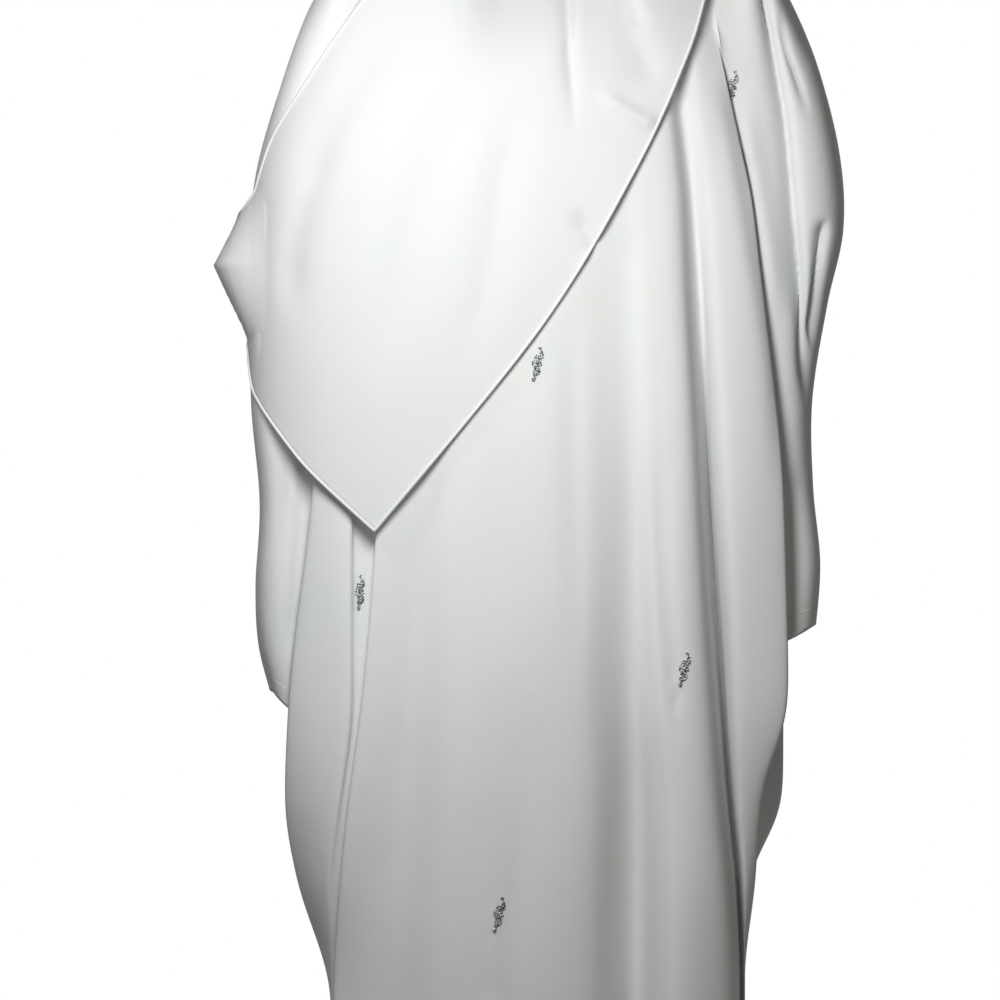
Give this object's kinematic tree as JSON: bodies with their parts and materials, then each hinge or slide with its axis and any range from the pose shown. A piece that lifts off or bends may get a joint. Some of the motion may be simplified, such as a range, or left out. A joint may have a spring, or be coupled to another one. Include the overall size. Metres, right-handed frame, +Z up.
{
  "type": "abaya",
  "caption": "Full-length white abaya in its worn shape, hollow, with wide open sleeves and a semi-sheer panel draped over the chest and round the right arm.",
  "frame": {"origin": "on the centre line at the height of the neck point, where the shoulders carry it", "axes": "+Z up, -Y to the front, +X to the wearer's left"},
  "size_m": [0.6586, 0.301, 1.3848],
  "materials": {
    "gown_cloth": "soft matt crepe",
    "sheer_cloth": "matt, semi-sheer",
    "binding_cloth": "soft matt crepe"
  },
  "bodies": {
    "root": {"front_panel": "gown_cloth", "back_panel": "gown_cloth", "sleeve_left": "gown_cloth", "sleeve_right": "gown_cloth", "overlay_panel": "sheer_cloth", "neck_binding": "binding_cloth"}
  },
  "joints": []
}
